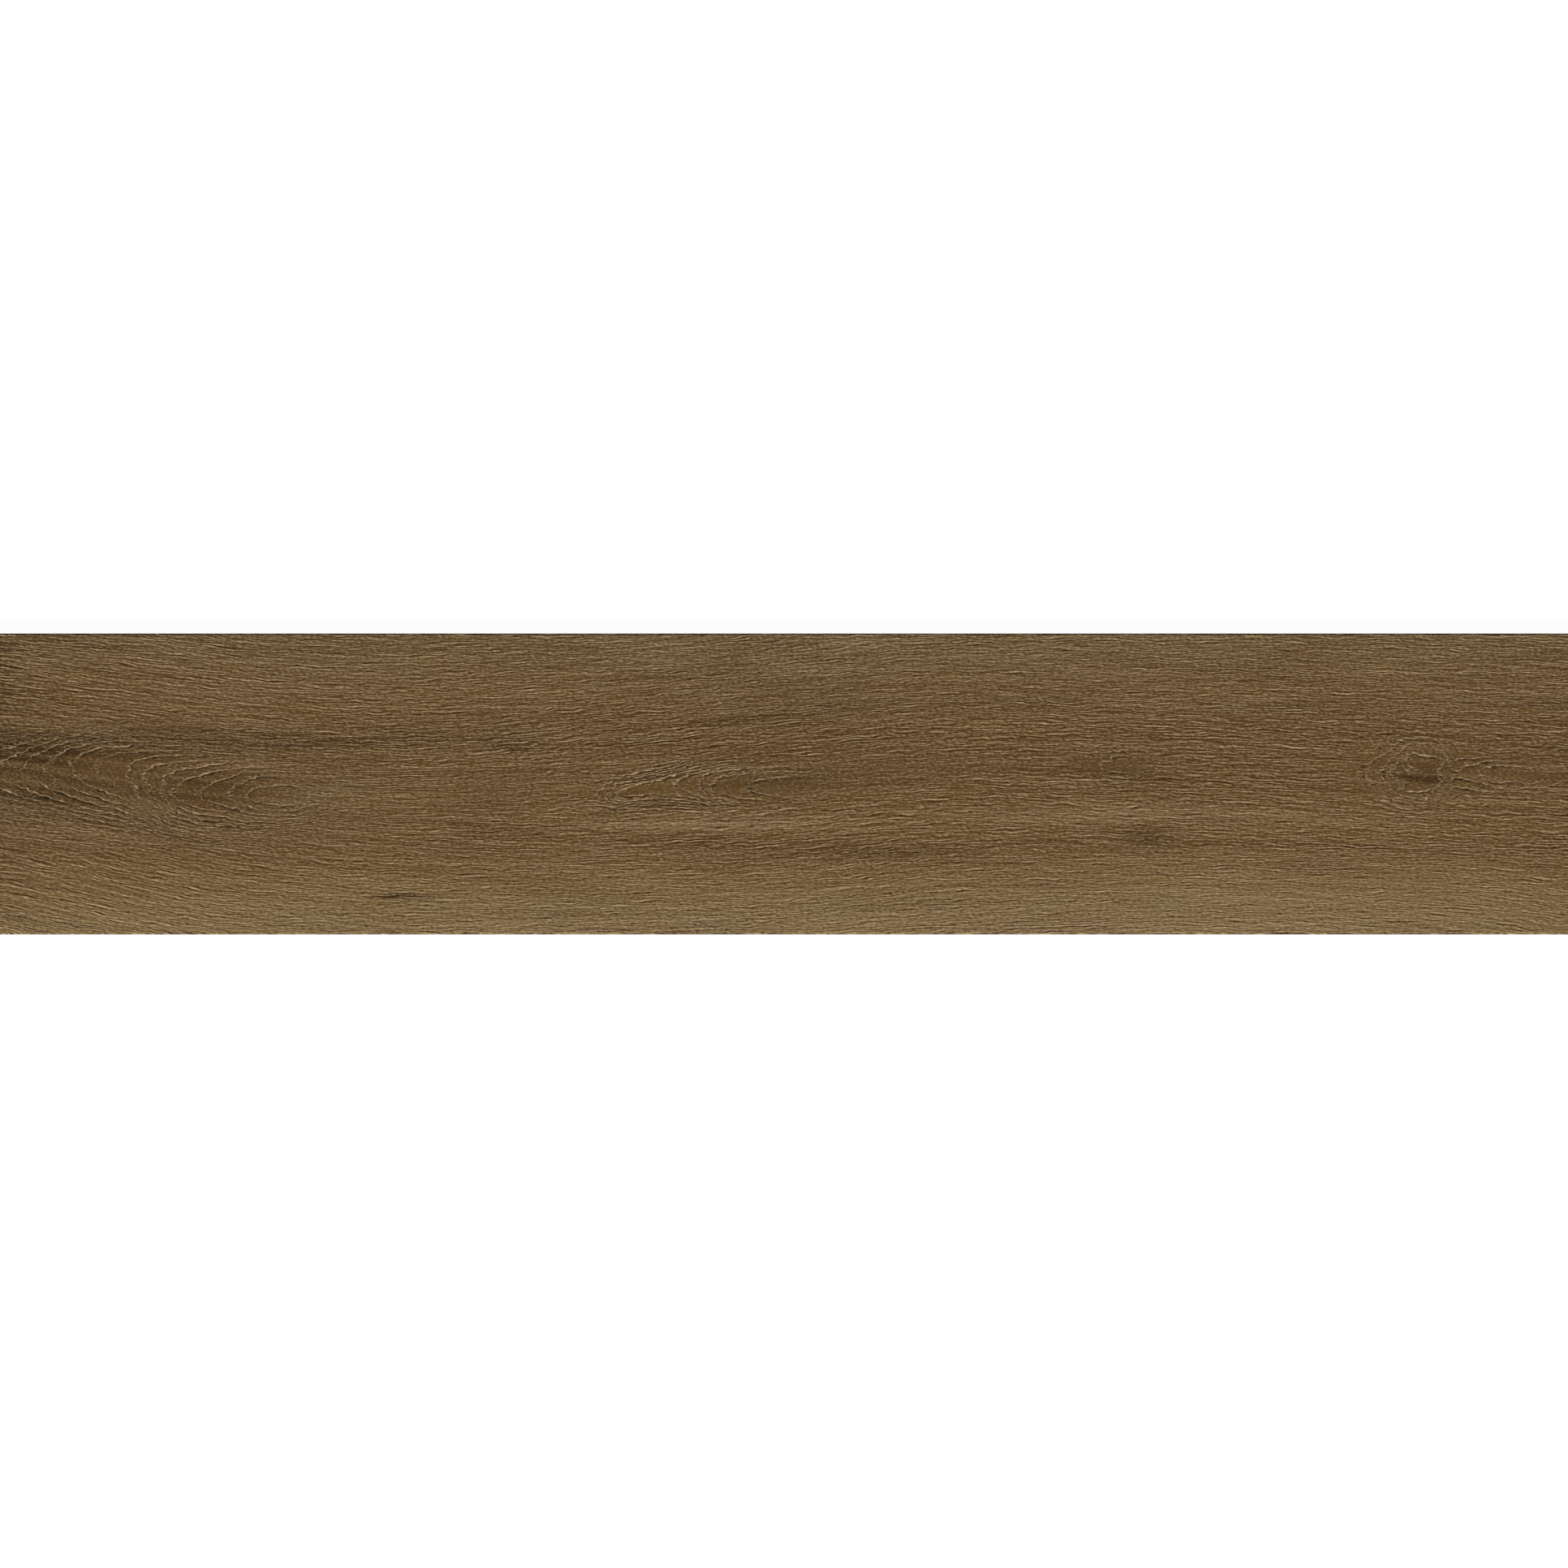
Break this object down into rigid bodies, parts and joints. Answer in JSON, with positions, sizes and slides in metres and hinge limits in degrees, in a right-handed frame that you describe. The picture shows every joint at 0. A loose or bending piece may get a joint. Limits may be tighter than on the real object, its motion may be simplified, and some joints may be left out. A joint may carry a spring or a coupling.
{
  "type": "wood look porcelain plank tile",
  "caption": "Long flat porcelain floor tile with a printed and embossed oak face, ground square sides, a fine bevel round the face and a lattice of keying recesses on the back.",
  "frame": {"origin": "centre of the back, on the plane that the tile rests on", "axes": "+X along the plank, +Y across it, +Z out of the printed face"},
  "size_m": [1.2, 0.23, 0.01],
  "materials": {
    "glazed_porcelain": "matte"
  },
  "bodies": {
    "root": {"plank_tile": "glazed_porcelain"}
  },
  "joints": []
}
